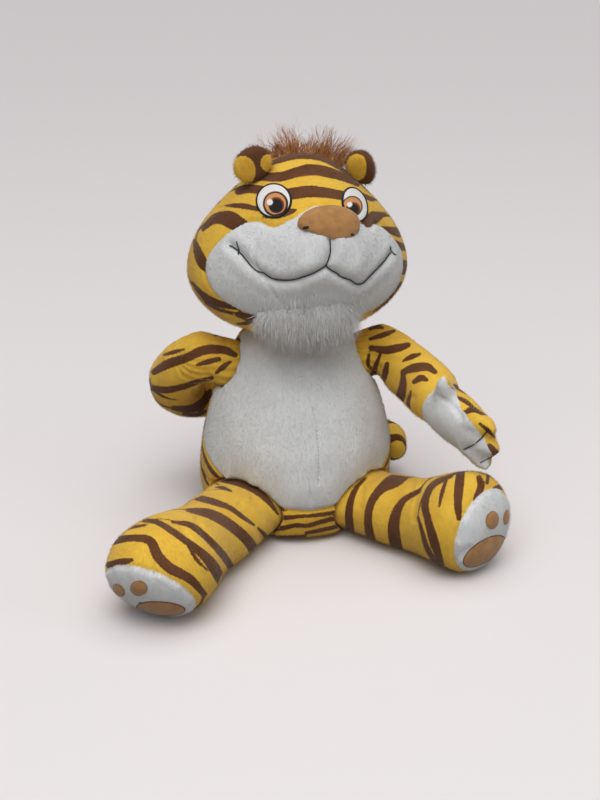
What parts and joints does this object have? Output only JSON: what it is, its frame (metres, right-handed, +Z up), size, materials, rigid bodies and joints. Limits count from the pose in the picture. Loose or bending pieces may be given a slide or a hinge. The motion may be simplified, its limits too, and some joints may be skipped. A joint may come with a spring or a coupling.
{
  "type": "plush tiger",
  "caption": "Seated stuffed tiger with a wide rounded head, white face and belly, striped limbs with mitt hands, padded soles and a ringed tail.",
  "frame": {"origin": "middle of the flat seat under the body, on the surface that the toy sits on", "axes": "+Z up, -Y the way the face looks, +X the tiger's left; -Z is the seat's outward normal"},
  "size_m": [0.3173, 0.3164, 0.3231],
  "materials": {
    "yellow_plush": "short warm yellow pile with dark brown stripes",
    "white_plush": "short cool white pile, long at the chin",
    "brown_fur": "longer brown fur",
    "tan_patch": "smooth tan suede-like patch fabric, for the nose and the foot pads",
    "eye_thread": "satin-stitched orange, black and white thread",
    "filling": "loose white polyester filling"
  },
  "bodies": {
    "body": {"body_cover": "yellow_plush", "belly_panel": "white_plush", "body_stuffing": "filling"},
    "head": {"head_cover": "yellow_plush", "face_panel": "white_plush", "head_stuffing": "filling", "nose": "tan_patch", "eye_left": "eye_thread", "eye_right": "eye_thread", "chin_ruff": "white_plush", "hair_tuft": "brown_fur"},
    "ear_left": {"ear_left_front": "yellow_plush", "ear_left_back": "brown_fur"},
    "ear_right": {"ear_right_front": "yellow_plush", "ear_right_back": "brown_fur"},
    "arm_left": {"arm_left_sleeve": "yellow_plush", "arm_left_stuffing": "filling", "arm_left_hand_palm": "white_plush", "arm_left_hand_back": "yellow_plush"},
    "arm_right": {"arm_right_sleeve": "yellow_plush", "arm_right_stuffing": "filling", "arm_right_hand_palm": "white_plush", "arm_right_hand_back": "yellow_plush"},
    "leg_left": {"leg_left_cover": "yellow_plush", "sole_left": "white_plush", "leg_left_stuffing": "filling", "toe_inner_pad_left": "tan_patch", "toe_outer_pad_left": "tan_patch", "heel_pad_left": "tan_patch"},
    "leg_right": {"leg_right_cover": "yellow_plush", "sole_right": "white_plush", "leg_right_stuffing": "filling", "toe_inner_pad_right": "tan_patch", "toe_outer_pad_right": "tan_patch", "heel_pad_right": "tan_patch"},
    "tail": {"tail_cover": "yellow_plush", "tail_stuffing": "filling"}
  },
  "joints": [
    {"name": "neck_turn", "type": "hinge", "parent": "body", "child": "head", "pos_m": [0, 0, 0.165], "axis": [0, 0, 1], "range_deg": [-20, 20]},
    {"name": "ear_left_fold", "type": "hinge", "parent": "head", "child": "ear_left", "pos_m": [0.04838, -0.00786, 0.28844], "axis": [0.7498, 0, -0.6616], "range_deg": [-20, 20]},
    {"name": "ear_right_fold", "type": "hinge", "parent": "head", "child": "ear_right", "pos_m": [-0.03203, -0.0156, 0.29296], "axis": [0.8424, 0, 0.5388], "range_deg": [-20, 20]},
    {"name": "arm_left_swing", "type": "hinge", "parent": "body", "child": "arm_left", "pos_m": [0.05563, 0, 0.13514], "axis": [-0.8921, 0, -0.4519], "range_deg": [0, 30]},
    {"name": "arm_right_swing", "type": "hinge", "parent": "body", "child": "arm_right", "pos_m": [-0.05563, 0, 0.13514], "axis": [0.8921, 0, -0.4519], "range_deg": [0, 25]},
    {"name": "leg_left_spread", "type": "hinge", "parent": "body", "child": "leg_left", "pos_m": [0.05029, -0.04766, 0.025], "axis": [0, 0, 1], "range_deg": [-10, 10]},
    {"name": "leg_right_spread", "type": "hinge", "parent": "body", "child": "leg_right", "pos_m": [-0.05203, -0.04598, 0.025], "axis": [0, 0, 1], "range_deg": [-10, 10]},
    {"name": "tail_swing", "type": "hinge", "parent": "body", "child": "tail", "pos_m": [0.008, 0.06024, 0.03338], "axis": [0, 0, 1], "range_deg": [-10, 10]}
  ]
}
